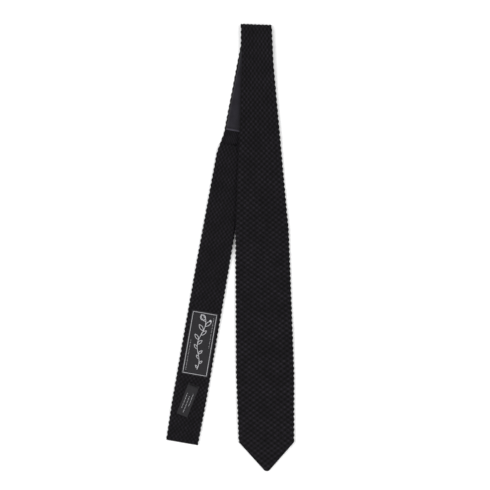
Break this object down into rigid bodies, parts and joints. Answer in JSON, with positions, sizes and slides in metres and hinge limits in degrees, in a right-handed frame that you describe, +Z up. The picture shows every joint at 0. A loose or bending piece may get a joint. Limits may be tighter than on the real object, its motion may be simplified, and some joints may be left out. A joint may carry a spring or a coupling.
{
  "type": "necktie",
  "caption": "Pointed black silk knit necktie laid flat, folded at the neck over its narrow tail, with a satin neck facing and woven labels.",
  "frame": {"origin": "middle of the lying tie's footprint, on the surface it lies on", "axes": "+Y towards the fold at the neck, +Z up out of the blade's face, +X to the right when the tip points towards the reader"},
  "size_m": [0.2062, 0.7196, 0.0094],
  "materials": {
    "black_silk_knit": "matte, open staggered knit of lustrous thread",
    "black_satin": "smooth satin with a soft sheen",
    "wool_interlining": "brushed, matte",
    "woven_label": "fine damask weave with a pale woven border and ornament",
    "sewing_thread": "twisted, slightly glossy"
  },
  "bodies": {
    "neck_and_tail": {"tail_face_knit": "black_silk_knit", "tail_back_knit": "black_silk_knit", "tail_interlining": "wool_interlining", "neck_interlining_tail_side": "wool_interlining", "neck_satin_tail_side": "black_satin", "bar_tack_tail": "sewing_thread", "satin_hem_thread_tail_side": "sewing_thread", "neck_fold_knit": "black_silk_knit", "neck_fold_interlining": "wool_interlining", "neck_fold_satin": "black_satin"},
    "blade": {"blade_face_knit": "black_silk_knit", "blade_back_knit": "black_silk_knit", "blade_interlining": "wool_interlining", "neck_interlining_blade_side": "wool_interlining", "neck_satin_blade_side": "black_satin", "bar_tack_blade": "sewing_thread", "satin_hem_thread_blade_side": "sewing_thread"},
    "blade_end": {"blade_end_face_knit": "black_silk_knit", "blade_end_back_knit": "black_silk_knit", "blade_end_interlining": "wool_interlining", "blade_tip_facing": "black_satin", "tip_facing_thread": "sewing_thread"},
    "tail_end": {"tail_end_face_knit": "black_silk_knit", "tail_end_back_knit": "black_silk_knit", "tail_end_interlining": "wool_interlining", "tail_end_closing_thread": "sewing_thread", "brand_label": "woven_label", "brand_label_thread": "sewing_thread", "care_label_sewn_end": "woven_label", "care_label_tack": "sewing_thread"},
    "care_label": {"care_label": "woven_label"}
  },
  "joints": [
    {"name": "neck_fold", "type": "hinge", "parent": "neck_and_tail", "child": "blade", "pos_m": [0.04199, 0.35882, 0.00335], "axis": [-0.9993, 0.0384, 0], "range_deg": [0, 179], "deforming": ["neck_fold_knit", "neck_fold_interlining", "neck_fold_satin"]},
    {"name": "blade_fold", "type": "hinge", "parent": "blade", "child": "blade_end", "pos_m": [0.05262, -0.03883, 0.0042], "axis": [-0.9997, -0.0237, 0], "range_deg": [0, 172]},
    {"name": "tail_fold", "type": "hinge", "parent": "neck_and_tail", "child": "tail_end", "pos_m": [-0.02747, -0.02583, 0.0042], "axis": [-0.9853, 0.1711, 0], "range_deg": [0, 155]},
    {"name": "care_label_lift", "type": "hinge", "parent": "tail_end", "child": "care_label", "pos_m": [-0.05917, -0.22395, 0.0049], "axis": [-0.9282, 0.3722, 0], "range_deg": [0, 75]}
  ]
}
